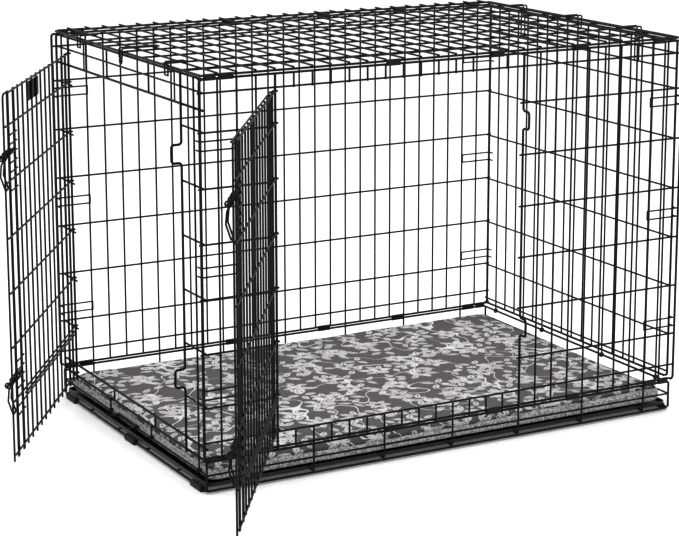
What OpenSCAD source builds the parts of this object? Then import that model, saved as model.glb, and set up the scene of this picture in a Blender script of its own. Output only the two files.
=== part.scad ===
// Folding wire dog crate with a side door and an end door, a slide-out pan and a padded mat.
// Millimetres, +Z up. The origin is on the floor at the centre of the crate's footprint.
// X runs along the length with the door end at -X, and the long side with the door is at -Y.

/* [Crate] */
// Length over the end panels
crate_l = 1067; // [900:1:1250]
// Width over the side panels
crate_w = 711; // [640:1:760]
// Height over the roof wires
crate_h = 783; // [760:1:860]
// Number of gaps between the uprights of a long side
bays = 28; // [24:1:32]
// Number of gaps between the uprights of the far end panel
end_bays = 18; // [14:1:20]
// Number of gaps between the inner long wires of the roof
roof_lanes = 8; // [6:1:10]

/* [Wire] */
// Diameter of the edge wires that carry the panels
edge_d = 4.5; // [4.2:0.1:5.2]
// Diameter of posts, jambs and door edges
post_d = 4.8; // [4:0.1:5]
// Diameter of the mesh wires
mesh_d = 3.8; // [3:0.1:3.9]
// Diameter of eyes and hooks
eye_d = 3.2; // [2.8:0.1:3.3]

/* [Side door] */
// Upright that carries the hinges, counted from the door end
side_hinge_bay = 4; // [3:1:5]
// Upright that carries the keepers
side_latch_bay = 18; // [17:1:19]
// How far the side door stands open
side_door_open = 124; // [60:1:150]
// Height of the upper bolt of the side door
side_bolt_hi = 640; // [630:1:650]
// Height of the lower bolt of the side door
side_bolt_lo = 230; // [220:1:240]

/* [End door] */
// Distance of the hinge jamb from the centre line
end_hinge_y = 278; // [262:1:284]
// Distance of the keeper jamb from the centre line
end_latch_y = 262; // [250:1:266]
// How far the end door stands open
end_door_open = 34; // [20:1:120]
// Height of the upper bolt of the end door
end_bolt_hi = 621; // [610:1:632]
// Height of the lower bolt of the end door
end_bolt_lo = 200; // [190:1:212]

/* [Doors] */
// Number of gaps between the uprights of a door
door_bays = 14; // [12:1:16]
// Gap between a door's free edge and its keeper jamb
door_gap = 16; // [15:1:18]
// Length of the wire below a door's lowest cross wire
door_stub = 15; // [8:1:18]

/* [Bolts] */
// Diameter of a bolt
bolt_d = 5; // [4.4:0.1:5.2]
// How far the tip of a drawn bolt stands past the door
bolt_tip = 11; // [8:1:11]
// Depth of a keeper in front of its jamb
keeper_depth = 20; // [19:1:24]
// Height of a keeper
keeper_h = 34; // [32:1:40]
// Length of a bolt's handle
handle_l = 60; // [50:1:66]

/* [Base] */
// Height of the rim's top wire
rim_h = 62.5; // [58:0.5:66]
// Height of the wire over the pan slot at the door end
slot_wire_z = 37; // [34:0.5:40]
// Height of the wire on which the far end panel hinges
fold_wire_z = 60; // [59:0.5:61]
// Height of the underside of the pan
pan_z = 12.3; // [12.2:0.1:13]
// Depth of the pan
pan_depth = 7.2; // [6:0.1:7.4]
// Angle by which the pan stop is lifted off the slot
stop_lift = 100; // [90:1:110]

/* [Mat] */
// Top of the padded mat above the floor
mat_top = 52; // [44:1:52]
// Length of the mat
mat_l = 1034; // [900:1:1034]
// Width of the mat
mat_w = 686; // [600:1:688]

/* [Hidden] */
$fn = 24;

// Depth to which two crossing wires sink into each other at a weld
weld = 0.05;
// Joint left between a straight wire and the bend that follows it
hairline = 0.02;
// Radius of the bends in the panels' edge wires
corner_r = 6;
// Gap between the paired wires along the long edges of the roof and the base
edge_gap = 1.6;
// Clearance of an eye round the wire that it turns on
play = 0.3;

pitch = crate_l / bays;
function upright_x(k) = -crate_l / 2 + k * pitch;

// Layers of a long side, measured outwards from the middle of the crate: the uprights lie
// outside, and the cross wires and rails are welded to their inner faces.
side_skin = crate_w / 2 - post_d;
side_post_y = side_skin + post_d / 2;
side_upright_y = side_skin + mesh_d / 2;
side_cross_y = side_skin - mesh_d / 2 + weld;
side_rail_y = side_skin - edge_d / 2 + weld;

// Layers of an end panel, which stands between the long sides.
end_inset = 6;
end_skin = crate_l / 2 - end_inset - post_d;
end_post_x = end_skin + post_d / 2;
end_upright_x = end_skin + mesh_d / 2;
end_cross_x = end_skin - mesh_d / 2 + weld;
end_rail_x = end_skin - post_d / 2 + weld;
end_inner_x = end_rail_x - post_d / 2 + weld;
end_post_y = side_rail_y - edge_d / 2 - 1.5 - post_d / 2;

// Edge wires of the roof and the base share the line on which the end panels hinge.
loop_x = end_upright_x;
loop_y = side_rail_y;

// Heights
floor_z = 6;
hook_z = crate_h - eye_d / 2;
roof_cross_z = hook_z - (eye_d + mesh_d) / 2 + weld;
roof_edge_z = roof_cross_z - (mesh_d + edge_d) / 2 + weld;
roof_long_z = roof_cross_z - mesh_d + weld;
side_top_z = roof_edge_z - edge_d - edge_gap;
side_bottom_z = rim_h + edge_d + edge_gap;
row_z0 = 164;
row_step = 101.6;
rows = [for (i = [0:5]) row_z0 + i * row_step];
header_z = 743;
sill_z = 98;
end_header_z = 711;
end_top_z = roof_edge_z - edge_d / 2 - 2 - post_d / 2;
end_sill_z = 84;
end_bottom_z = 60;
fold_bottom_z = 73;
rim_mid_z = 36;

// Places along the ends
strip_y = 316;
short_y = 100;
hairpin_y = 210;
hairpin_gap = 14;
eye_bays = [1, 6, 12, 17];

// Hinge lines of the doors
side_hinge_x = upright_x(side_hinge_bay);
side_latch_x = upright_x(side_latch_bay);
side_door_w = side_latch_x - side_hinge_x - door_gap;
end_door_w = end_hinge_y + end_latch_y - door_gap;

// Door rows sit just above the rows of the panel, so that the eyes clear them.
door_row_lift = 7;
door_rows = [for (z = rows) z + door_row_lift];
door_top_z = header_z - 6;
side_door_low_z = sill_z + 6;
end_door_low_z = end_bottom_z + 10;
door_first = 13;

// Distance of the bolt in front of the middle of a door
bolt_out = 12;
guide_back = 2;
bolt_travel = 28;

black = [0.07, 0.07, 0.075];
black_plastic = [0.1, 0.1, 0.105];
clip_metal = [0.16, 0.16, 0.17];
mat_grey = [0.42, 0.4, 0.4];

// ---- wire forms ----

// Straight wire from a to b
module bar(a, b, d = mesh_d) {
    v = b - a;
    translate(a) rotate([0, acos(v[2] / norm(v)), atan2(v[1], v[0])]) cylinder(h = norm(v), d = d);
}

// Wire bent through a list of points
module bent(points, d = eye_d) {
    for (i = [1:len(points) - 1]) bar(points[i - 1], points[i], d);
    for (i = [1:len(points) - 2]) translate(points[i]) sphere(d = d * 1.02);
}

// Closed eye in the XY plane round a wire of the given diameter
module eye(round_d, d = eye_d) {
    rotate_extrude() translate([round_d / 2 + play + d / 2, 0]) circle(d = d);
}

// Quarter bend in the XY plane from the +X side to the +Y side
module quarter(r, d) {
    rotate_extrude(angle = 90) translate([r, 0]) circle(d = d);
}

// Rectangular edge loop with round corners, at height z
module edge_loop(x, y, z, r, d) {
    for (s = [-1, 1]) {
        bar([-x + r + hairline, s * y, z], [x - r - hairline, s * y, z], d);
        bar([s * x, -y + r + hairline, z], [s * x, y - r - hairline, z], d);
        for (t = [-1, 1])
            translate([s * (x - r), t * (y - r), z]) rotate(s * t > 0 ? (s > 0 ? 0 : 180) : (s > 0 ? 270 : 90))
                quarter(r, d);
    }
}

// Outline of a rectangle with round corners, centred on the origin
function round_rect(l, w, r, n = 8) = [
    for (c = [0:3], i = [0:n])
        let (a = 90 * c + 90 * i / n, sx = (c == 0 || c == 3) ? 1 : -1, sy = c < 2 ? 1 : -1)
        [sx * (l / 2 - r) + r * cos(a), sy * (w / 2 - r) + r * sin(a)]
];

module both_sides() {
    children();
    mirror([0, 1, 0]) children();
}

module both_ends() {
    children();
    mirror([1, 0, 0]) children();
}

// Draws something made for the +X end at the door end
module at_door_end() {
    mirror([1, 0, 0]) children();
}

// ---- base ----

module floor_frame() {
    color(black) edge_loop(loop_x, loop_y, floor_z, 8, edge_d);
}

floor_cross_z = floor_z + (edge_d + mesh_d) / 2 - weld;
floor_bend_r = 6;
rim_bays = [for (k = [2:4:bays - 2]) k];

module floor_cross_wires() {
    y = side_upright_y - floor_bend_r - hairline;
    color(black) for (k = rim_bays) bar([upright_x(k), -y, floor_cross_z], [upright_x(k), y, floor_cross_z]);
}

module floor_long_wires() {
    x = loop_x - edge_d / 2 + weld;
    z = floor_cross_z - mesh_d + weld;
    color(black) for (j = [-3:2:3]) bar([-x, j * crate_w / 10, z], [x, j * crate_w / 10, z]);
}

// The floor's cross wires turn up at both sides and carry the rim.
module rim_uprights() {
    color(black) both_sides() for (k = rim_bays) {
        translate([upright_x(k), side_upright_y - floor_bend_r, floor_cross_z + floor_bend_r])
            rotate([0, 90, 0]) quarter(floor_bend_r, mesh_d);
        bar([upright_x(k), side_upright_y, floor_cross_z + floor_bend_r + hairline],
            [upright_x(k), side_upright_y, rim_h + 2]);
    }
}

rim_bend_r = 6;

module rim_rails() {
    color(black) both_sides() {
        bar([-loop_x + rim_bend_r + hairline, loop_y, rim_h], [loop_x - rim_bend_r - hairline, loop_y, rim_h],
            edge_d);
        bar([-loop_x + edge_d / 2 + hairline, side_cross_y, rim_mid_z],
            [loop_x - edge_d / 2 - hairline, side_cross_y, rim_mid_z]);
        both_ends() {
            translate([loop_x - rim_bend_r, loop_y, rim_h - rim_bend_r]) rotate([90, 0, 0])
                quarter(rim_bend_r, edge_d);
            bar([loop_x, loop_y, floor_z + edge_d / 2 - 0.2], [loop_x, loop_y, rim_h - rim_bend_r - hairline],
                edge_d);
        }
    }
}

module base_end_wires() {
    y = loop_y - edge_d / 2 + weld;
    color(black) {
        bar([-loop_x, -y, slot_wire_z], [-loop_x, y, slot_wire_z], edge_d);
        bar([loop_x, -y, fold_wire_z], [loop_x, y, fold_wire_z], edge_d);
        bar([loop_x, -y, rim_mid_z], [loop_x, y, rim_mid_z]);
    }
}

foot_l = 46;
foot_y = 308;

// Feet are sleeves on the end wires of the floor, flat underneath.
module foot() {
    rotate([90, 0, 0]) difference() {
        union() {
            cylinder(h = foot_l, r = floor_z - 0.3, center = true, $fn = 40);
            translate([-4.5, -floor_z, -foot_l / 2]) cube([9, floor_z, foot_l]);
        }
        cylinder(h = foot_l + 2, r = edge_d / 2 + 0.06, center = true);
    }
}

module feet() {
    color(black_plastic) both_ends() for (y = [-foot_y, 0, foot_y]) translate([loop_x, y, floor_z]) foot();
}

// ---- long sides ----

// Upright along +Z at x = 0 that bends over towards -X at both ends
module bowed_post(low, high, d) {
    bar([0, 0, low + corner_r + hairline], [0, 0, high - corner_r - hairline], d);
    translate([-corner_r, 0, high - corner_r]) rotate([90, 0, 0]) quarter(corner_r, d);
    translate([-corner_r, 0, low + corner_r]) rotate([-90, 0, 0]) quarter(corner_r, d);
}

module side_posts() {
    both_ends() translate([(crate_l - post_d) / 2, side_post_y, 0])
        bowed_post(side_bottom_z, side_top_z, post_d);
}

module side_rails() {
    x = crate_l / 2 - corner_r - 0.5;
    for (z = [side_bottom_z, side_top_z]) bar([-x, side_rail_y, z], [x, side_rail_y, z], edge_d);
}

module upright(k, low = side_bottom_z, high = side_top_z) {
    bar([upright_x(k), side_upright_y, low - 2], [upright_x(k), side_upright_y, high + 1.5]);
}

module cross_wire(z, from = -crate_l / 2 + 0.5, to = crate_l / 2 - 0.5) {
    bar([from, side_cross_y, z], [to, side_cross_y, z]);
}

module front_posts() {
    color(black) mirror([0, 1, 0]) side_posts();
}

module front_rails() {
    color(black) mirror([0, 1, 0]) side_rails();
}

module front_uprights() {
    color(black) mirror([0, 1, 0]) {
        for (k = [1:side_hinge_bay - 1]) upright(k);
        for (k = [side_latch_bay + 1:bays - 1]) upright(k);
        for (k = [side_hinge_bay + 1:side_latch_bay - 1]) {
            upright(k, high = sill_z);
            upright(k, low = header_z);
        }
    }
}

module front_cross_wires() {
    color(black) mirror([0, 1, 0]) {
        for (z = [sill_z, header_z]) cross_wire(z);
        for (z = rows) {
            cross_wire(z, to = side_hinge_x + 4);
            cross_wire(z, from = side_latch_x - 4);
        }
    }
}

keeper_r = 6;

// Upper leg of a keeper: from its front back to the jamb and on upwards. Local Y is outwards.
module keeper_leg() {
    front = keeper_depth - keeper_r;
    leg_z = keeper_h / 2;
    translate([0, front, leg_z - keeper_r]) rotate([90, 0, 90]) quarter(keeper_r, post_d);
    bar([0, front - hairline, leg_z], [0, keeper_r + hairline, leg_z], post_d);
    translate([0, keeper_r, leg_z + keeper_r]) rotate([90, 0, 90]) rotate(180) quarter(keeper_r, post_d);
}

// Jamb whose wire steps out to the front and back again at two keepers
module keeper_jamb(low, high, keepers) {
    half = keeper_h / 2 + keeper_r + hairline;
    front_half = keeper_h / 2 - keeper_r - hairline;
    for (z = keepers) translate([0, 0, z]) {
        keeper_leg();
        mirror([0, 0, 1]) keeper_leg();
        bar([0, keeper_depth, -front_half], [0, keeper_depth, front_half], post_d);
    }
    bar([0, 0, low], [0, 0, keepers[0] - half], post_d);
    bar([0, 0, keepers[0] + half], [0, 0, keepers[1] - half], post_d);
    bar([0, 0, keepers[1] + half], [0, 0, high], post_d);
}

module side_door_jambs() {
    color(black) mirror([0, 1, 0]) {
        bar([side_hinge_x, side_post_y, side_bottom_z - 2], [side_hinge_x, side_post_y, side_top_z + 1.5],
            post_d);
        translate([side_latch_x, side_post_y, 0])
            keeper_jamb(side_bottom_z - 2, side_top_z + 1.5, [side_bolt_lo, side_bolt_hi]);
    }
}

module back_posts() {
    color(black) side_posts();
}

module back_rails() {
    color(black) side_rails();
}

module back_uprights() {
    color(black) for (k = [1:bays - 1]) upright(k);
}

module back_cross_wires() {
    color(black) for (z = [sill_z, each rows, header_z]) cross_wire(z);
}

hook_rows = [189, 418, 648];
hook_gap = 17;
hook_reach = 14;

// Hairpins welded inside the corner uprights. Their ends pass the post and hold the end panel from outside.
module corner_hook(z) {
    in_x = crate_l / 2 - 2 * pitch;
    out_x = crate_l / 2 - end_inset + 0.6 + eye_d / 2;
    y = side_skin - eye_d / 2 + weld;
    for (s = [-1, 1])
        bent([[in_x, y, z], [in_x, y, z + s * hook_gap / 2], [out_x, y, z + s * hook_gap / 2],
            [out_x, y - hook_reach, z + s * hook_gap / 2]]);
}

module corner_hooks() {
    color(black) both_sides() both_ends() for (z = hook_rows) corner_hook(z);
}

// ---- roof ----

module roof_frame() {
    color(black) edge_loop(loop_x, loop_y, roof_edge_z, 5.4, edge_d);
}

module roof_long_wires() {
    x = loop_x - edge_d / 2 + weld;
    color(black) for (j = [1:roof_lanes - 1]) {
        y = -crate_w / 2 + j * crate_w / roof_lanes;
        bar([-x, y, roof_long_z], [x, y, roof_long_z]);
    }
}

module roof_cross_wires() {
    color(black) for (k = [1:bays - 1])
        bar([upright_x(k), -loop_y - 4.5, roof_cross_z], [upright_x(k), loop_y + 4.5, roof_cross_z]);
}

// Wire pair that lies on the roof, turns over the end wire and hangs outside the end panel's top wire
module over_hook(y, tail, drop) {
    z = hook_z;
    out_x = loop_x + edge_d / 2 + play + eye_d / 2;
    for (s = [-1, 1])
        bent([[loop_x - tail, y, z], [loop_x - tail, y + s * hairpin_gap / 2, z],
            [out_x - 2.5, y + s * hairpin_gap / 2, z], [out_x, y + s * hairpin_gap / 2, z - 2.5],
            [out_x, y + s * hairpin_gap / 2, z - drop], [out_x, y, z - drop]]);
}

module roof_end_hooks() {
    color(black) both_ends() for (y = [-hairpin_y, hairpin_y]) over_hook(y, pitch - end_inset, 24);
}

// Longer loop in the middle of each end, with a ring to pull it by
module roof_catch_loops() {
    color(black) both_ends() {
        over_hook(0, 2 * pitch - 4, 18);
        translate([loop_x + edge_d / 2 + play + eye_d / 2, 0, hook_z - 18 - 6]) rotate([0, 90, 0])
            rotate_extrude() translate([6, 0]) circle(d = eye_d - 0.2);
    }
}

// ---- crimped clips on the four long edges ----

// Each clip sits in a bay, between two uprights. The bays at the ends leave room for the end wires.
clip_l = 28;
end_clip_l = 22;
end_clip_bay = 0.66;
clip_bays = [1.5, 10.5, 16.5, 21.5, 26.5];
clip_wall = 0.9;

module clip(l, gap) {
    bore_r = edge_d / 2 + 0.08;
    rotate([0, 90, 0]) difference() {
        union() {
            for (s = [-1, 1]) translate([s * gap / 2, 0, 0]) cylinder(h = l, r = bore_r + clip_wall, center = true);
            cube([gap, 2 * bore_r + 1, l], center = true);
        }
        for (s = [-1, 1]) translate([s * gap / 2, 0, 0]) cylinder(h = l + 2, r = bore_r, center = true);
        cube([gap - 1, 1.6, l + 2], center = true);
    }
}

module edge_clips(low_z, high_z, end_bays_used) {
    color(clip_metal) both_sides() translate([0, loop_y, (low_z + high_z) / 2]) {
        for (k = clip_bays) translate([upright_x(k), 0, 0]) clip(clip_l, high_z - low_z);
        for (k = end_bays_used) translate([upright_x(k), 0, 0]) clip(end_clip_l, high_z - low_z);
    }
}

module roof_clips() {
    edge_clips(side_top_z, roof_edge_z, [end_clip_bay]);
}

module base_clips() {
    edge_clips(rim_h, side_bottom_z, [end_clip_bay, bays - end_clip_bay]);
}

// ---- end panels ----

module end_rail(z, d = post_d, x = end_rail_x, y = end_post_y + 1.5) {
    bar([x, -y, z], [x, y, z], d);
}

module end_posts(bottom_z) {
    both_sides() translate([end_post_x, end_post_y, 0]) rotate(90) bowed_post(bottom_z, end_top_z, post_d);
}

module end_edge_rails(bottom_z) {
    for (z = [bottom_z, end_top_z]) end_rail(z, y = end_post_y - corner_r + 2);
}

module end_upright(y, low, high, x = end_upright_x) {
    bar([x, y, low], [x, y, high]);
}

// Hairpin from the second cross wire to the top of the panel
module top_hairpin(y, x) {
    for (s = [-1, 1])
        bent([[x, y + s * hairpin_gap / 2, end_header_z - 3], [x, y + s * hairpin_gap / 2, end_top_z + 1],
            [x, y, end_top_z + 1]]);
}

// Stub below the panel, ending in an eye round the base's end wire
module hinge_eye(y, wire_z, stub_top) {
    centre_r = edge_d / 2 + play + eye_d / 2;
    translate([loop_x, y, wire_z]) rotate([90, 0, 0]) eye(edge_d);
    bar([loop_x, y, wire_z + centre_r], [loop_x, y, stub_top], eye_d + 0.2);
}

module left_end_posts() {
    color(black) at_door_end() end_posts(end_bottom_z);
}

module left_end_rails() {
    color(black) at_door_end() end_edge_rails(end_bottom_z);
}

module left_end_uprights() {
    color(black) at_door_end() for (s = [-1, 1]) {
        end_upright(s * strip_y, end_bottom_z + 5, end_top_z + 1.5);
        end_upright(s * short_y, end_header_z - 1.5, end_top_z + 1.5, end_inner_x - mesh_d / 2);
        end_upright(s * short_y, end_bottom_z - 1.5, end_sill_z + 1.5, end_inner_x - mesh_d / 2);
    }
}

module left_end_cross_wires() {
    color(black) at_door_end() {
        for (z = [end_sill_z, end_header_z]) end_rail(z);
        end_rail(header_z, mesh_d, end_cross_x);
        for (z = rows) {
            bar([end_cross_x, end_hinge_y - 4, z], [end_cross_x, end_post_y + 1.5, z]);
            bar([end_cross_x, -end_latch_y + 4, z], [end_cross_x, -end_post_y - 1.5, z]);
        }
    }
}

module end_door_jambs() {
    low = end_bottom_z - 2;
    high = end_top_z + 1.5;
    color(black) at_door_end() {
        bar([end_post_x, end_hinge_y, low], [end_post_x, end_hinge_y, high], post_d);
        translate([end_post_x, -end_latch_y, 0]) rotate(-90)
            keeper_jamb(low, high, [end_bolt_lo, end_bolt_hi]);
    }
}

module left_end_hairpins() {
    color(black) at_door_end() for (s = [-1, 1]) top_hairpin(s * hairpin_y, end_inner_x - eye_d / 2);
}

module left_end_hinge_eyes() {
    color(black) at_door_end() for (s = [-1, 1]) for (y = [short_y, strip_y])
        hinge_eye(s * y, slot_wire_z, end_bottom_z + 5 - hairline);
}

module right_end_posts() {
    color(black) end_posts(fold_bottom_z);
}

module right_end_rails() {
    color(black) end_edge_rails(fold_bottom_z);
}

function end_bay_y(j) = -end_post_y + j * 2 * end_post_y / end_bays;

module right_end_uprights() {
    color(black) for (j = [1:end_bays - 1]) end_upright(end_bay_y(j), fold_bottom_z - 1.5, end_top_z + 1.5);
}

module right_end_cross_wires() {
    color(black) for (z = [end_sill_z, each rows, end_header_z, header_z]) end_rail(z, mesh_d, end_cross_x);
}

module right_end_hairpins() {
    color(black) for (s = [-1, 1]) top_hairpin(s * hairpin_y, end_skin + eye_d / 2);
}

module right_end_hinge_eyes() {
    color(black) for (j = eye_bays) hinge_eye(end_bay_y(j), fold_wire_z, fold_bottom_z - 1.5 - hairline);
}

// ---- doors ----

// Each door is drawn shut along +X from its hinge line, with its outer face to -Y, then turned to stand open.
module at_side_door() {
    translate([side_hinge_x, -side_post_y, 0]) rotate(-side_door_open) children();
}

module at_end_door() {
    translate([-end_post_x, end_hinge_y, 0]) rotate(-90 - end_door_open) children();
}

door_upright_y = -mesh_d + weld;
door_edge_y = -(mesh_d + post_d) / 2 + weld;
door_corner_r = 8;
twin_gap = 6;

function door_upright_x(i, w) = door_first + i * (w - door_first) / door_bays;

// Thick upright along a door's hinge side, and a free edge that bends over at the top
module door_edges(w, low) {
    bar([door_first, door_edge_y, low - door_stub], [door_first, door_edge_y, door_top_z + 1.5], post_d);
    bend_z = door_top_z - door_corner_r;
    bar([w, door_upright_y, low - door_stub], [w, door_upright_y, bend_z - hairline]);
    translate([w - door_corner_r, door_upright_y, bend_z]) rotate([90, 0, 0]) quarter(door_corner_r, mesh_d);
    bar([w - door_corner_r - hairline, door_upright_y, door_top_z], [w - 20, door_upright_y, door_top_z]);
}

// The two uprights next to the free edge are twins.
module door_uprights(w, low) {
    twins = [door_upright_x(door_bays - 1, w) + twin_gap, door_upright_x(door_bays - 2, w) - twin_gap];
    for (x = [for (i = [1:door_bays - 1]) door_upright_x(i, w), each twins])
        bar([x, door_upright_y, low - door_stub], [x, door_upright_y, door_top_z + 1.5]);
}

// Cross wires, each ending in an eye round the hinge jamb
module door_cross_wires(w, low) {
    for (z = [low, each door_rows, door_top_z]) translate([0, 0, z]) {
        eye(post_d);
        bar([post_d / 2 + play + eye_d / 2, 0, 0], [w + (z < door_top_z ? 3.5 : -18), 0, 0]);
    }
}

// Two bars under the lowest row, inside the uprights
module door_stiffeners(w) {
    inner_face = door_upright_y + mesh_d / 2 - weld;
    for (b = [[9, edge_d], [17, eye_d]])
        bar([door_first - 4, inner_face + b[1] / 2, door_rows[0] - b[0]],
            [w - 84, inner_face + b[1] / 2, door_rows[0] - b[0]], b[1]);
}

// Thin wire along the top of the outer face
module door_top_wire(w) {
    y = door_upright_y - (mesh_d + eye_d) / 2 + weld;
    bar([door_first + 3, y, door_top_z + 0.5], [w - 4, y, door_top_z + 0.5], eye_d);
}

// Heights of the rungs beside a bolt, measured from it
rungs = [38, 21, 4, -13, -30, -47, -64];

// Two loose guides in front of the free edge and the second upright behind it, and a ladder of short
// rungs between the twin uprights, left out where a row is in the way
module bolt_guides(w, heights) {
    back_x = door_upright_x(door_bays - guide_back, w);
    front_x = door_upright_x(door_bays - 1, w);
    face = 1.5 * mesh_d - weld;
    rung_y = door_upright_y + (mesh_d + eye_d) / 2 - weld;
    for (z = heights) {
        for (x = [back_x, w]) translate([x, -bolt_out, z]) rotate([0, 90, 0])
            rotate_extrude() translate([bolt_out - face - eye_d / 2 + weld, 0]) circle(d = eye_d);
        for (r = rungs) if (min([for (row = door_rows) abs(z + r - row)]) > 5)
            bar([back_x - twin_gap, rung_y, z + r], [front_x + twin_gap, rung_y, z + r], eye_d);
    }
}

// Bolt with a chamfered tip
module bolt(w, z) {
    back = door_upright_x(door_bays - guide_back, w) - bolt_travel - 6;
    tip = 2;
    translate([0, -bolt_out, z]) {
        bar([back, 0, 0], [w + bolt_tip - tip, 0, 0], bolt_d);
        translate([w + bolt_tip - tip, 0, 0]) rotate([0, 90, 0]) cylinder(h = tip, d1 = bolt_d, d2 = bolt_d - 2);
    }
}

// Bowed handle that hangs from two eyes on the bolt
module bolt_handle(w, z) {
    drop = bolt_d / 2 + play + eye_d / 2;
    mid_x = w - 45;
    half = 11;
    translate([mid_x, -bolt_out, z]) {
        for (s = [-1, 1]) translate([s * half, 0, 0]) rotate([0, 90, 0]) eye(bolt_d);
        for (s = [-1, 1])
            bent([[s * half, 0, -drop], [s * half, -7, -drop - handle_l * 0.25],
                [s * half, -9, -drop - handle_l * 0.6], [s * half, -1, -drop - handle_l],
                [0, -1, -drop - handle_l - 3]], eye_d + 0.2);
    }
}

module side_door_edges() {
    color(black) at_side_door() door_edges(side_door_w, side_door_low_z);
}

module side_door_uprights() {
    color(black) at_side_door() door_uprights(side_door_w, side_door_low_z);
}

module side_door_cross_wires() {
    color(black) at_side_door() door_cross_wires(side_door_w, side_door_low_z);
}

module side_door_stiffeners() {
    color(black) at_side_door() {
        door_stiffeners(side_door_w);
        door_top_wire(side_door_w);
    }
}

module side_door_bolt_guides() {
    color(black) at_side_door() bolt_guides(side_door_w, [side_bolt_lo, side_bolt_hi]);
}

module side_upper_bolt() {
    color(black) at_side_door() bolt(side_door_w, side_bolt_hi);
}

module side_upper_handle() {
    color(black) at_side_door() bolt_handle(side_door_w, side_bolt_hi);
}

module side_lower_bolt() {
    color(black) at_side_door() bolt(side_door_w, side_bolt_lo);
}

module side_lower_handle() {
    color(black) at_side_door() bolt_handle(side_door_w, side_bolt_lo);
}

module end_door_edges() {
    color(black) at_end_door() door_edges(end_door_w, end_door_low_z);
}

module end_door_uprights() {
    color(black) at_end_door() door_uprights(end_door_w, end_door_low_z);
}

module end_door_cross_wires() {
    color(black) at_end_door() door_cross_wires(end_door_w, end_door_low_z);
}

module end_door_stiffeners() {
    color(black) at_end_door() door_stiffeners(end_door_w);
}

module end_door_bolt_guides() {
    color(black) at_end_door() bolt_guides(end_door_w, [end_bolt_lo, end_bolt_hi]);
}

plate_size = [92, 36, 1.6];

// Blank plate on the outer face of the door, near the top
module end_door_plate() {
    x = door_upright_x(7.5, end_door_w);
    y = -mesh_d * 1.5 + weld * 2;
    color(black_plastic) at_end_door() translate([x, y, 711]) rotate([90, 0, 0])
        linear_extrude(plate_size[2]) polygon(round_rect(plate_size[0], plate_size[1], 5));
}

module end_upper_bolt() {
    color(black) at_end_door() bolt(end_door_w, end_bolt_hi);
}

module end_upper_handle() {
    color(black) at_end_door() bolt_handle(end_door_w, end_bolt_hi);
}

module end_lower_bolt() {
    color(black) at_end_door() bolt(end_door_w, end_bolt_lo);
}

module end_lower_handle() {
    color(black) at_end_door() bolt_handle(end_door_w, end_bolt_lo);
}

// ---- pan, pan stop and mat ----

pan_l = 1045;
pan_w = 689;
pan_wall = 2.2;
rib_count = 5;

// Shallow tray with stiffening ribs along its floor
module pan() {
    color(black_plastic) translate([0, 0, pan_z]) {
        difference() {
            linear_extrude(pan_depth) polygon(round_rect(pan_l, pan_w, 12));
            translate([0, 0, pan_wall]) linear_extrude(pan_depth)
                polygon(round_rect(pan_l - 2 * pan_wall, pan_w - 2 * pan_wall, 10));
        }
        for (i = [1:rib_count])
            translate([-pan_l / 2 + 60, -pan_w / 2 + i * pan_w / (rib_count + 1) - 6, pan_wall - 0.5])
                cube([pan_l - 120, 12, 2.5]);
    }
}

stop_ys = [-30, 62];

// Wire stop on the slot wire: two legs that hang in front of the pan, joined by a bar beside the wire
module pan_stop() {
    r = edge_d / 2 + play + eye_d / 2;
    leg = slot_wire_z - floor_z - edge_d / 2 - 4;
    color(black) translate([-loop_x, 0, slot_wire_z]) rotate([0, stop_lift, 0]) {
        for (y = stop_ys) {
            translate([0, y, 0]) rotate([90, 0, 0]) eye(edge_d);
            bar([0, y, -r], [0, y, -leg], eye_d + 0.2);
        }
        bar([-r - 0.3, stop_ys[0], 0], [-r - 0.3, stop_ys[1], 0], eye_d + 0.2);
    }
}

mat_z = pan_z + pan_depth + 0.4;

module mat() {
    color(mat_grey) translate([0, 0, mat_z]) linear_extrude(mat_top - mat_z)
        polygon(round_rect(mat_l, mat_w, 20));
}

floor_frame();
floor_long_wires();
floor_cross_wires();
rim_uprights();
rim_rails();
base_end_wires();
feet();
front_posts();
front_rails();
front_uprights();
front_cross_wires();
side_door_jambs();
back_posts();
back_rails();
back_uprights();
back_cross_wires();
corner_hooks();
roof_frame();
roof_long_wires();
roof_cross_wires();
roof_end_hooks();
roof_catch_loops();
roof_clips();
base_clips();
left_end_posts();
left_end_rails();
left_end_uprights();
left_end_cross_wires();
end_door_jambs();
left_end_hairpins();
left_end_hinge_eyes();
right_end_posts();
right_end_rails();
right_end_uprights();
right_end_cross_wires();
right_end_hairpins();
right_end_hinge_eyes();
side_door_edges();
side_door_uprights();
side_door_cross_wires();
side_door_stiffeners();
side_door_bolt_guides();
side_upper_bolt();
side_upper_handle();
side_lower_bolt();
side_lower_handle();
end_door_edges();
end_door_uprights();
end_door_cross_wires();
end_door_stiffeners();
end_door_bolt_guides();
end_door_plate();
end_upper_bolt();
end_upper_handle();
end_lower_bolt();
end_lower_handle();
pan();
pan_stop();
mat();
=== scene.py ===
"""Wire dog crate: materials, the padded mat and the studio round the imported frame.

Units are metres. Colours are linear red, green, blue, and noise scales are per metre.
"""
import math

import bpy
import numpy as np
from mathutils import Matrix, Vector, noise


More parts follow.
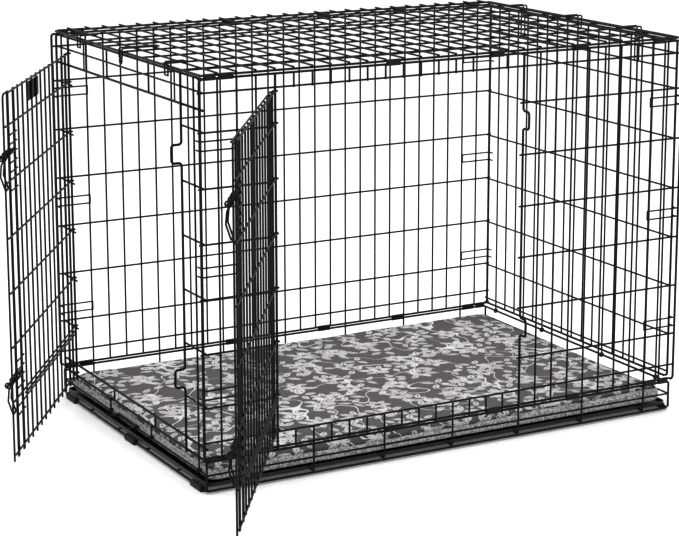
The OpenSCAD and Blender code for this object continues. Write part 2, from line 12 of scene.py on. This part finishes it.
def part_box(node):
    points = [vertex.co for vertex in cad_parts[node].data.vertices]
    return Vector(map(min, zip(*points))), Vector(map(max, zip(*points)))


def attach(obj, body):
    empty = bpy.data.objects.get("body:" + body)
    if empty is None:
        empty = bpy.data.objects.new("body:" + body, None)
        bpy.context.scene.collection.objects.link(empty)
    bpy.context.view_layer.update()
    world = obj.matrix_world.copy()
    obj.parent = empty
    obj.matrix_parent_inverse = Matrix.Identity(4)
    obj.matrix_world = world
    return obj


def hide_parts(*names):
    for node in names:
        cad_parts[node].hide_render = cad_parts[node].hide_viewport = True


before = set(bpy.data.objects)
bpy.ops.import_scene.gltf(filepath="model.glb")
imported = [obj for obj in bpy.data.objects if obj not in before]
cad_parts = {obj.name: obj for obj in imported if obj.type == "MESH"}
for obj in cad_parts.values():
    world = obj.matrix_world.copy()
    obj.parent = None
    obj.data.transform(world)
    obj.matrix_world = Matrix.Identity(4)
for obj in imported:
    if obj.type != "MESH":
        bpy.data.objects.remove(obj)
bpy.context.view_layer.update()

MAT_LOW, MAT_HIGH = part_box("mat")


# ---- camera, light and floor ----

CAMERA_PLACE = Vector((-2.0913, -3.7051, 1.3347))
CAMERA_YAW = 0.5085
CAMERA_PITCH = -0.207
CAMERA_LENS = 112.74
CAMERA_SENSOR = 36.0
CAMERA_SHIFT = (-0.0189, -0.106)
CAMERA_CLIP_END = 200.0

WORLD_STRENGTH = 1.1
VIEW_GAMMA = 0.72
FLOOR_HALF = 60.0
FLOOR_GLOW = 0.12

# Name, place, point that it aims at, side, power.
AREA_LIGHTS = (
    ("key", (-2.6, -3.2, 3.6), (0, 0, 0.3), 2.4, 70),
    ("fill", (3.4, -2.2, 2.2), (0, 0, 0.3), 2.2, 28),
    ("top", (0.2, 0.6, 3.8), (0, 0, 0), 3.0, 42),
)


def link(obj):
    bpy.context.scene.collection.objects.link(obj)


def add_camera():
    data = bpy.data.cameras.new("camera")
    data.lens = CAMERA_LENS
    data.sensor_width = CAMERA_SENSOR
    data.shift_x, data.shift_y = CAMERA_SHIFT
    data.clip_end = CAMERA_CLIP_END
    camera = bpy.data.objects.new("camera", data)
    camera.location = CAMERA_PLACE
    level = math.cos(CAMERA_PITCH)
    ahead = Vector((level * math.sin(CAMERA_YAW), level * math.cos(CAMERA_YAW),
                    math.sin(CAMERA_PITCH)))
    camera.rotation_mode = "QUATERNION"
    camera.rotation_quaternion = ahead.to_track_quat("-Z", "Y")
    link(camera)
    bpy.context.scene.camera = camera


def add_area(name, place, aim, side, power):
    data = bpy.data.lights.new(name, "AREA")
    data.shape = "RECTANGLE"
    data.size = data.size_y = side
    data.energy = power
    lamp = bpy.data.objects.new(name, data)
    lamp.location = place
    lamp.rotation_mode = "QUATERNION"
    lamp.rotation_quaternion = (Vector(aim) - Vector(place)).to_track_quat("-Z", "Y")
    link(lamp)


def add_world():
    world = bpy.data.worlds.new("studio")
    world.use_nodes = True
    background = world.node_tree.nodes["Background"]
    background.inputs["Color"].default_value = (1.0, 1.0, 1.0, 1.0)
    background.inputs["Strength"].default_value = WORLD_STRENGTH
    bpy.context.scene.world = world


# ---- shader helpers ----


class Shader:
    """A new node material with one Principled shader, and short ways to add nodes to it."""

    def __init__(self, name):
        self.material = bpy.data.materials.new(name)
        self.material.use_nodes = True
        self.tree = self.material.node_tree
        self.surface = self.tree.nodes["Principled BSDF"]

    def add(self, kind, links=(), **settings):
        node = self.tree.nodes.new(kind)
        for key, value in settings.items():
            setattr(node, key, value)
        for key, value in dict(links).items():
            self.feed(node.inputs[key], value)
        return node

    def feed(self, socket, value):
        if isinstance(value, bpy.types.NodeSocket):
            self.tree.links.new(value, socket)
        else:
            socket.default_value = value

    def set(self, **values):
        for key, value in values.items():
            self.feed(self.surface.inputs[key.replace("_", " ")], value)

    def math(self, operation, *values, clamp=False):
        node = self.add("ShaderNodeMath", operation=operation, use_clamp=clamp)
        for i, value in enumerate(values):
            self.feed(node.inputs[i], value)
        return node.outputs[0]

    def vector(self, operation, *values):
        node = self.add("ShaderNodeVectorMath", operation=operation)
        for i, value in enumerate(values):
            self.feed(node.inputs[i], value)
        return node.outputs["Vector"]

    def place(self):
        return self.add("ShaderNodeTexCoord").outputs["Object"]

    def noise(self, scale, detail=2.0, rough=0.5, where=None):
        links = {"Scale": scale, "Detail": detail, "Roughness": rough,
                 "Vector": where or self.place()}
        return self.add("ShaderNodeTexNoise", links).outputs["Fac"]

    def cells(self, scale):
        """Distance to the nearest of the points that a Voronoi texture scatters."""
        links = {"Vector": self.place(), "Scale": scale}
        return self.add("ShaderNodeTexVoronoi", links).outputs["Distance"]

    def ramp(self, value, low, high, to_low=0.0, to_high=1.0):
        links = {"Value": value, "From Min": low, "From Max": high,
                 "To Min": to_low, "To Max": to_high}
        return self.add("ShaderNodeMapRange", links, clamp=True).outputs["Result"]

    def mix(self, factor, a, b):
        node = self.add("ShaderNodeMix", data_type="RGBA")
        colours = [s for s in node.inputs if s.type == "RGBA"]
        self.feed(node.inputs["Factor"], factor)
        for socket, value in zip(colours, (a, b)):
            self.feed(socket, (*value, 1.0) if isinstance(value, tuple) else value)
        return next(s for s in node.outputs if s.type == "RGBA")

    def bump(self, height, distance, strength):
        links = {"Height": height, "Distance": distance, "Strength": strength}
        node = self.add("ShaderNodeBump", links)
        self.tree.links.new(node.outputs["Normal"], self.surface.inputs["Normal"])


# ---- wire, clips and plastic ----

WIRE_SHADES = ((0.006, 0.0058, 0.006), (0.011, 0.0106, 0.011))
# Painted highlight: a lighter brownish tone laid on the wire that faces up, and how much of it.
WIRE_PAINTED_HIGHLIGHT = (0.035, 0.033, 0.031)
PAINTED_HIGHLIGHT_AMOUNT = 0.3
CLIP_SHADES = ((0.009, 0.009, 0.0095), (0.02, 0.0195, 0.019))
FOOT_SHADES = ((0.006, 0.006, 0.0065), (0.011, 0.011, 0.0115))
PAN_SHADES = ((0.007, 0.007, 0.0073), (0.012, 0.012, 0.0125))
PLATE_SHADES = ((0.01, 0.01, 0.0105), (0.016, 0.016, 0.017))
FLOOR_SHADES = ((0.84, 0.84, 0.84), (0.86, 0.86, 0.86))


def wire_material():
    """Black coated wire, with a painted highlight: lighter brownish patches on what faces up."""
    s = Shader("black_wire")
    cloud = s.noise(9.0, 4.0)
    normal = s.add("ShaderNodeNewGeometry").outputs["Normal"]
    upward = s.add("ShaderNodeSeparateXYZ", {"Vector": normal}).outputs["Z"]
    patches = s.ramp(s.noise(60.0, 5.0, 0.7), 0.42, 0.7)
    # Painted highlight: the colour turns lighter and brownish in patches where the wire faces up.
    painted_highlight = s.math("MULTIPLY", s.ramp(upward, 0.3, 1.0), patches)
    base = s.mix(s.ramp(cloud, 0.3, 0.7), *WIRE_SHADES)
    base = s.mix(s.math("MULTIPLY", painted_highlight, PAINTED_HIGHLIGHT_AMOUNT), base, WIRE_PAINTED_HIGHLIGHT)
    s.set(Base_Color=base, Roughness=s.ramp(s.noise(220.0, 3.0), 0.3, 0.7, 0.34, 0.5))
    s.set(IOR=1.5, Specular_IOR_Level=0.2)
    s.bump(s.noise(1400.0, 2.0), 0.00006, 0.6)
    return s.material


def clip_material():
    s = Shader("clip_metal")
    cloud = s.noise(40.0, 4.0, 0.6)
    base = s.mix(s.ramp(cloud, 0.35, 0.7), *CLIP_SHADES)
    s.set(Base_Color=base, Roughness=s.ramp(cloud, 0.3, 0.7, 0.3, 0.5))
    s.set(Metallic=0.25, Specular_IOR_Level=0.3)
    s.bump(s.noise(900.0, 3.0), 0.0001, 0.5)
    return s.material


def plastic_material(name, shades, rough, level):
    """Black moulded plastic with a fine grain."""
    s = Shader(name)
    base = s.mix(s.ramp(s.noise(14.0, 4.0), 0.3, 0.7), *shades)
    worn = s.ramp(s.noise(120.0, 4.0), 0.3, 0.7, rough - 0.06, rough + 0.08)
    s.set(Base_Color=base, Roughness=worn, IOR=1.5, Specular_IOR_Level=level)
    s.bump(s.cells(1100.0), 0.00015, 0.5)
    return s.material


def floor_material():
    s = Shader("studio_floor")
    s.set(Base_Color=s.mix(s.noise(0.7, 3.0), *FLOOR_SHADES), Roughness=0.8)
    s.set(Specular_IOR_Level=0.1)
    s.set(Emission_Color=(1.0, 1.0, 1.0, 1.0), Emission_Strength=FLOOR_GLOW)
    return s.material


def add_floor():
    mesh = bpy.data.meshes.new("studio_floor")
    half = FLOOR_HALF
    corners = [(-half, -half, 0), (half, -half, 0), (half, half, 0), (-half, half, 0)]
    mesh.from_pydata(corners, [], [(0, 1, 2, 3)])
    floor = bpy.data.objects.new("studio_floor", mesh)
    floor.data.materials.append(floor_material())
    link(floor)


# ---- the mat's cover and fleece ----

PALE_SHADES = ((0.62, 0.61, 0.605), (0.78, 0.77, 0.765))
DEEP_SHADES = ((0.108, 0.1, 0.102), (0.152, 0.142, 0.144))
WORN_SHADE = (0.135, 0.125, 0.128)
WORN_AMOUNT = 0.14
# Fleece colour at the tips, then the painted shade between the curls.
FLEECE_TIPS_AND_PAINTED_SHADE = ((0.6, 0.6, 0.603), (0.2, 0.2, 0.203))
FLEECE_DULL = (0.32, 0.32, 0.323)
FLEECE_DULL_AMOUNT = 0.3

# Side of a cell, leaves in a motif, start and end of a leaf, its half width, offset of the layer.
MOTIFS = (
    (0.09, 6, 0.004, 0.034, 0.0072, 0.0),
    (0.086, 4, 0.006, 0.041, 0.0074, 1.3),
    (0.068, 3, 0.002, 0.033, 0.0066, 2.9),
)
MOTIF_SCATTER = 0.75
MOTIF_TURN = 6.283
MOTIF_SIZES = (0.75, 1.1)
LEAF_FULLNESS = 0.8
LEAF_EDGE = (-0.0002, 0.0006)
MIDRIB_EDGE = (0.0004, 0.0009)
VEIN_SLANT = 1.3
VEIN_PITCH = 0.0052
VEIN_EDGE = (0.05, 0.16)
STEM_SCALE = 9.0
STEM_WIDTH = 0.007
STEM_CORE = 0.45
SWAY_SCALE = 14.0
SWAY = (0.012, 0.012, 0.0)


def leaf_layer(s, where, cell, petals, first, last, half_width, offset):
    """Mask of one motif per cell: pointed leaves round a centre, with midribs and side veins."""
    shifted = s.vector("ADD", where, (offset, offset * 0.37, 0.0))
    links = {"Vector": shifted, "Scale": 1.0 / cell, "Randomness": MOTIF_SCATTER}
    cells = s.add("ShaderNodeTexVoronoi", links, voronoi_dimensions="2D")
    shades = s.add("ShaderNodeSeparateColor", {"Color": cells.outputs["Color"]})
    from_centre = s.vector("SUBTRACT", shifted, cells.outputs["Position"])
    local = s.add("ShaderNodeSeparateXYZ", {"Vector": from_centre})
    x, y = local.outputs["X"], local.outputs["Y"]
    squares = s.math("ADD", s.math("MULTIPLY", x, x), s.math("MULTIPLY", y, y))
    reach = s.math("SQRT", squares)
    turn = s.math("MULTIPLY", shades.outputs["Red"], MOTIF_TURN)
    angle = s.math("ADD", s.math("ARCTAN2", y, x), turn)
    half_turn = math.pi / petals
    folded = s.math("WRAP", angle, half_turn, -half_turn)
    along = s.math("MULTIPLY", reach, s.math("COSINE", folded))
    across = s.math("ABSOLUTE", s.math("MULTIPLY", reach, s.math("SINE", folded)))
    grow = s.ramp(shades.outputs["Green"], 0.0, 1.0, *MOTIF_SIZES)
    length = s.math("MULTIPLY", grow, last - first)
    u = s.math("DIVIDE", s.math("SUBTRACT", along, first), length, clamp=True)
    bulge = s.math("SINE", s.math("MULTIPLY", s.math("POWER", u, LEAF_FULLNESS), math.pi))
    edge = s.math("SUBTRACT", s.math("MULTIPLY", bulge, half_width), across)
    leaf = s.ramp(edge, *LEAF_EDGE)
    midrib = s.ramp(across, *MIDRIB_EDGE)
    slant = s.math("ADD", along, s.math("MULTIPLY", across, VEIN_SLANT))
    phase = s.math("FRACT", s.math("DIVIDE", slant, VEIN_PITCH))
    vein = s.ramp(s.math("ABSOLUTE", s.math("SUBTRACT", phase, 0.5)), *VEIN_EDGE)
    return s.math("MULTIPLY", leaf, s.math("MULTIPLY", midrib, vein))


def stem_layer(s, where):
    """Mask of thin winding stems along the middle level of a noise."""
    level = s.noise(STEM_SCALE, 1.0, 0.4, where)
    off_middle = s.math("ABSOLUTE", s.math("SUBTRACT", level, 0.5))
    return s.ramp(off_middle, STEM_WIDTH, STEM_WIDTH * STEM_CORE)


def cover_material():
    """Short plush with a pale leaf and flower print on warm grey."""
    s = Shader("mat_cover")
    flat = s.add("ShaderNodeAttribute", attribute_name="flat").outputs["Vector"]
    links = {"Vector": flat, "Scale": SWAY_SCALE, "Detail": 1.0}
    sway = s.add("ShaderNodeTexNoise", links).outputs["Color"]
    sway = s.vector("MULTIPLY", s.vector("SUBTRACT", sway, (0.5, 0.5, 0.5)), SWAY)
    where = s.vector("ADD", flat, sway)
    layers = [leaf_layer(s, where, *motif) for motif in MOTIFS]
    layers.append(stem_layer(s, where))
    print_mask = layers[0]
    for layer in layers[1:]:
        print_mask = s.math("MAXIMUM", print_mask, layer)
    pile = s.noise(1300.0, 3.0, 0.7)
    tuft = s.noise(210.0, 4.0, 0.65)
    worn = s.noise(5.0, 3.0)
    pale = s.mix(s.ramp(tuft, 0.3, 0.7), *PALE_SHADES)
    deep = s.mix(s.ramp(tuft, 0.3, 0.7), *DEEP_SHADES)
    printed = s.math("MULTIPLY", print_mask, s.ramp(pile, 0.25, 0.5, 0.85, 1.0))
    base = s.mix(printed, deep, pale)
    base = s.mix(s.ramp(worn, 0.4, 0.75, 0.0, WORN_AMOUNT), base, WORN_SHADE)
    s.set(Base_Color=base, Roughness=0.92, Specular_IOR_Level=0.15)
    s.set(Sheen_Weight=0.08, Sheen_Roughness=0.5)
    raised = s.math("ADD", s.math("MULTIPLY", pile, 0.4), print_mask)
    s.bump(s.math("ADD", s.math("MULTIPLY", tuft, 0.6), raised), 0.0007, 0.55)
    return s.material


def fleece_material():
    """Curly grey fleece: pale tips, and painted shade that darkens it between the curls."""
    s = Shader("mat_fleece")
    curl = s.cells(190.0)
    fine = s.noise(900.0, 4.0, 0.7)
    # Painted shade: the colour darkens away from each curl's centre, between the curls.
    painted_recess_shade = s.ramp(s.math("ADD", curl, s.math("MULTIPLY", fine, 0.35)), 0.25, 0.95)
    base = s.mix(painted_recess_shade, *FLEECE_TIPS_AND_PAINTED_SHADE)
    dull = s.ramp(s.noise(30.0, 3.0), 0.35, 0.75, 0.0, FLEECE_DULL_AMOUNT)
    base = s.mix(dull, base, FLEECE_DULL)
    s.set(Base_Color=base, Roughness=0.95, Specular_IOR_Level=0.1)
    s.set(Sheen_Weight=0.12, Sheen_Roughness=0.55)
    s.bump(s.math("SUBTRACT", s.math("MULTIPLY", fine, 0.5), curl), 0.0012, 0.7)
    return s.material


# ---- mesh helpers ----


def rounded_outline(half_x, half_y, corner, step):
    """Points and outward directions round a rectangle with round corners, about step apart."""
    rows = []
    for turn, (sx, sy) in enumerate(((1, 1), (-1, 1), (-1, -1), (1, -1))):
        centre = np.array((sx * (half_x - corner), sy * (half_y - corner)))
        count = max(4, round(corner * math.pi / 2 / step))
        for i in range(count):
            a = math.pi / 2 * (turn + i / count)
            out = np.array((math.cos(a), math.sin(a)))
            rows.append((*(centre + corner * out), *out))
        a = math.pi / 2 * (turn + 1)
        out = np.array((math.cos(a), math.sin(a)))
        run = 2 * (half_x - corner) if turn % 2 == 0 else 2 * (half_y - corner)
        along = np.array((-sx, 0.0)) if turn % 2 == 0 else np.array((0.0, -sy))
        start = centre + corner * out
        count = max(2, round(run / step))
        for i in range(count):
            rows.append((*(start + along * run * i / count), *out))
    return np.array(rows)


def mesh_object(name, vertices, faces, material):
    mesh = bpy.data.meshes.new(name)
    mesh.from_pydata([tuple(map(float, v)) for v in vertices], [], faces)
    mesh.validate()
    mesh.materials.append(material)
    mesh.shade_smooth()
    obj = bpy.data.objects.new(name, mesh)
    link(obj)
    return obj


def ring_faces(count, rows, closed_ends=False):
    """Quads between rings of count points each, and a cap on both ends if they are closed."""
    faces = []
    for r in range(rows - 1):
        for i in range(count):
            j = (i + 1) % count
            low, high = r * count, (r + 1) * count
            faces.append((low + i, low + j, high + j, high + i))
    if closed_ends:
        faces.append(tuple(range(count))[::-1])
        faces.append(tuple(range((rows - 1) * count, rows * count)))
    return faces


def select_only(obj):
    bpy.ops.object.select_all(action="DESELECT")
    obj.select_set(True)
    bpy.context.view_layer.objects.active = obj


def apply_modifiers(obj):
    select_only(obj)
    for modifier in list(obj.modifiers):
        bpy.ops.object.modifier_apply(modifier=modifier.name)


def coordinates(obj):
    co = np.empty(len(obj.data.vertices) * 3)
    obj.data.vertices.foreach_get("co", co)
    return co.reshape(-1, 3)


def set_coordinates(obj, co):
    obj.data.vertices.foreach_set("co", np.ascontiguousarray(co).ravel())
    obj.data.update()


def lumps(co, scale, seed):
    """Smooth noise in -1..1, the same in each run."""
    return np.array([noise.noise(Vector(p) * scale + Vector((seed, seed, seed))) for p in co])


# ---- the padded mat ----

MAT_CORNER = 0.02
SEAM_Z = 0.0415
RIM_REACH = 0.6 * MAT_CORNER
TOP_LIMIT = 0.0531

# The pad before it swells: how far it stands inside the CAD solid, and its rolled top edge.
PAD_INSET = 0.0045
PAD_TOP_DROP = 0.0015
PAD_BOTTOM_RISE = 0.001
PAD_MIN_CORNER = 0.006
PAD_STEP = 0.01
PAD_VOXEL = 0.006
ROLL = 0.012
ROLL_START = 0.25
ROLL_END = 1.5708
ROLL_RINGS = 6
SWELL_CAP = 0.005
SWELL_FRAMES = 20

# Soft unevenness of the top: it fades in from this height, over this much.
TOP_FROM = 0.034
TOP_FADE = 0.01
GROOVE_HALF = 0.0022
GROOVE_DEPTH = 0.0016

# Spacing of the fleece side's points and number of its rows, full and quick.
FLEECE_STEP, FLEECE_STEP_QUICK = 0.0019, 0.0042
FLEECE_ROWS, FLEECE_ROWS_QUICK = 17, 9
FLEECE_BELLY = 0.0045
FLEECE_TUCK = 0.001
NUB_SIZE = 0.0052
NUB_DEPTH = 0.0013


def seam_height(x, y):
    """Height of the sewn edge between cover and fleece, which wanders along the mat."""
    climb = 0.003 * x / MAT_HIGH[0]
    return SEAM_Z + climb + 0.002 * np.sin(7.0 * x - 1.2) + 0.0012 * np.sin(23.0 * x + 9.0 * y)


def swell(obj, cap):
    """Blows the closed pad up with Cloth pressure and lets no point move further than cap."""
    before = coordinates(obj)
    modifier = obj.modifiers.new("Cloth", "CLOTH")
    settings = modifier.settings
    settings.quality = 4
    settings.mass = 0.3
    settings.use_pressure = True
    settings.uniform_pressure_force = 4.0
    settings.tension_stiffness = settings.compression_stiffness = 12.0
    settings.bending_stiffness = 0.6
    settings.effector_weights.gravity = 0.0
    modifier.collision_settings.use_collision = False
    scene = bpy.context.scene
    for frame_number in range(1, SWELL_FRAMES + 1):
        scene.frame_set(frame_number)
    apply_modifiers(obj)
    scene.frame_set(1)
    move = coordinates(obj) - before
    reach = np.linalg.norm(move, axis=1, keepdims=True)
    set_coordinates(obj, before + move * np.minimum(1.0, cap / np.maximum(reach, 1e-9)))


def edge_outwards(co, half_x, half_y):
    """For each point, the outward direction in plan near the rim, and how far out it is.

    Both are zero in the middle, further from the rim than the corner radius.
    """
    inner = np.stack((np.clip(co[:, 0], MAT_CORNER - half_x, half_x - MAT_CORNER),
                      np.clip(co[:, 1], MAT_CORNER - half_y, half_y - MAT_CORNER)), axis=1)
    out = co[:, :2] - inner
    reach = np.linalg.norm(out, axis=1, keepdims=True)
    return out / np.maximum(reach, 1e-6), reach[:, 0]


def pad_rings(half_x, half_y):
    """Rings of the pad from its underside, up its side and in over its rolled top edge."""
    top, low = MAT_HIGH[2] - PAD_TOP_DROP, MAT_LOW[2] + PAD_BOTTOM_RISE
    profile = [(0.006, low), (0.0015, low + 0.004), (0.0, low + 0.012), (0.0, top - ROLL)]
    profile += [(ROLL * (1 - math.cos(a)), top - ROLL * (1 - math.sin(a)))
                for a in np.linspace(ROLL_START, ROLL_END, ROLL_RINGS)]
    profile += [(0.05, top + 0.0006), (0.15, top + 0.001)]
    rings = []
    for inset, z in profile:
        corner = max(MAT_CORNER - inset, PAD_MIN_CORNER)
        ring = rounded_outline(half_x - inset, half_y - inset, corner, PAD_STEP)
        if rings and len(ring) != len(rings[0]):
            ring = ring[np.linspace(0, len(ring), len(rings[0]), endpoint=False).astype(int)]
        rings.append(np.column_stack((ring[:, :2], np.full(len(ring), z))))
    return rings


def make_pad(cover):
    """The printed pad: remeshed, swollen, sewn in along its seam, and laid out for its print."""
    half_x, half_y = MAT_HIGH[0] - PAD_INSET, MAT_HIGH[1] - PAD_INSET
    rings = pad_rings(half_x, half_y)
    faces = ring_faces(len(rings[0]), len(rings), True)
    pad = mesh_object("mat", np.vstack(rings), faces, cover)
    select_only(pad)
    pad.data.remesh_voxel_size = PAD_VOXEL
    bpy.ops.object.voxel_remesh()
    swell(pad, SWELL_CAP)
    smooth = pad.modifiers.new("round", "SUBSURF")
    smooth.levels = smooth.render_levels = 1
    apply_modifiers(pad)
    co = coordinates(pad)
    out, reach = edge_outwards(co, half_x, half_y)
    upper = np.clip((co[:, 2] - TOP_FROM) / TOP_FADE, 0, 1)
    co[:, 2] += upper * (0.0012 * lumps(co, 9.0, 3.0) + 0.0006 * lumps(co, 31.0, 8.0))
    seam = seam_height(co[:, 0], co[:, 1])
    groove = np.exp(-(((co[:, 2] - seam) / GROOVE_HALF) ** 2)) * (reach > RIM_REACH)
    co[:, :2] -= out * (GROOVE_DEPTH * groove)[:, None]
    co[:, 0] = np.clip(co[:, 0], -MAT_HIGH[0], MAT_HIGH[0])
    co[:, 1] = np.clip(co[:, 1], -MAT_HIGH[1] - 0.001, MAT_HIGH[1] + 0.001)
    co[:, 2] = np.clip(co[:, 2], MAT_LOW[2] + 0.0003, TOP_LIMIT)
    set_coordinates(pad, co)
    # The print runs on over the rim and down the side, as on a sewn cover.
    flat = pad.data.attributes.new("flat", "FLOAT_VECTOR", "POINT")
    drop = np.where(reach > RIM_REACH, MAT_HIGH[2] - co[:, 2], 0.0)
    laid = np.column_stack((co[:, :2] + out * drop[:, None], np.zeros(len(co))))
    flat.data.foreach_set("vector", laid.astype(np.float32).ravel())
    pad.data.shade_smooth()
    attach(pad, "crate")
    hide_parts("mat")


def make_fleece(fleece):
    """The long fleece side, from the seam down to the pan, with its nubs as real bumps."""
    step = FLEECE_STEP
    rows = FLEECE_ROWS
    outline = rounded_outline(MAT_HIGH[0] - 0.0022, MAT_HIGH[1] - 0.0016, MAT_CORNER, step)
    count = len(outline)
    seam = seam_height(outline[:, 0], outline[:, 1])
    low = MAT_LOW[2] + 0.0016
    points = []
    for r in range(rows):
        t = r / (rows - 1)
        belly = math.sin(math.pi * t) ** 0.55
        z = low + (seam + 0.001 - low) * t
        inset = FLEECE_BELLY * (1 - belly) + (FLEECE_TUCK if t > 0.9 else 0.0)
        points.append(np.column_stack((outline[:, :2] - outline[:, 2:] * inset, z)))
    co = np.vstack(points)
    out = np.vstack([outline[:, 2:]] * rows)
    nub = np.array([noise.voronoi(Vector(p) / NUB_SIZE)[0][0] for p in co])
    nub = NUB_DEPTH * (0.55 - nub) + 0.0005 * lumps(co, 330.0, 2.0) + 0.0008 * lumps(co, 40.0, 5.0)
    co[:, :2] += out * nub[:, None]
    # The lowest ring keeps its height, so the side stays clear of the pan.
    co[:, 2] += 0.0008 * lumps(co, 260.0, 11.0) * np.repeat(np.r_[0, np.ones(rows - 1)], count)
    co[:, 0] = np.clip(co[:, 0], -MAT_HIGH[0] - 0.0006, MAT_HIGH[0] + 0.0006)
    co[:, 1] = np.clip(co[:, 1], -MAT_HIGH[1] - 0.0015, MAT_HIGH[1] + 0.0015)
    side = mesh_object("mat_fleece_side", co, ring_faces(count, rows), fleece)
    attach(side, "crate")


# ---- materials of the CAD nodes, then everything else ----

WIRE = wire_material()
CLIP = clip_material()
NODE_MATERIAL = {
    "feet": plastic_material("foot_plastic", FOOT_SHADES, 0.5, 0.3),
    "pan": plastic_material("pan_plastic", PAN_SHADES, 0.32, 0.4),
    "end_door_plate": plastic_material("plate_plastic", PLATE_SHADES, 0.42, 0.35),
    "roof_clips": CLIP,
    "base_clips": CLIP,
}

for name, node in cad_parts.items():
    node.data.materials.clear()
    node.data.materials.append(NODE_MATERIAL.get(name, WIRE))

make_pad(cover_material())
make_fleece(fleece_material())

add_camera()
add_world()
add_floor()
for light in AREA_LIGHTS:
    add_area(*light)
bpy.context.scene.view_settings.view_transform = "Standard"
bpy.context.scene.view_settings.gamma = VIEW_GAMMA

bpy.context.view_layer.update()
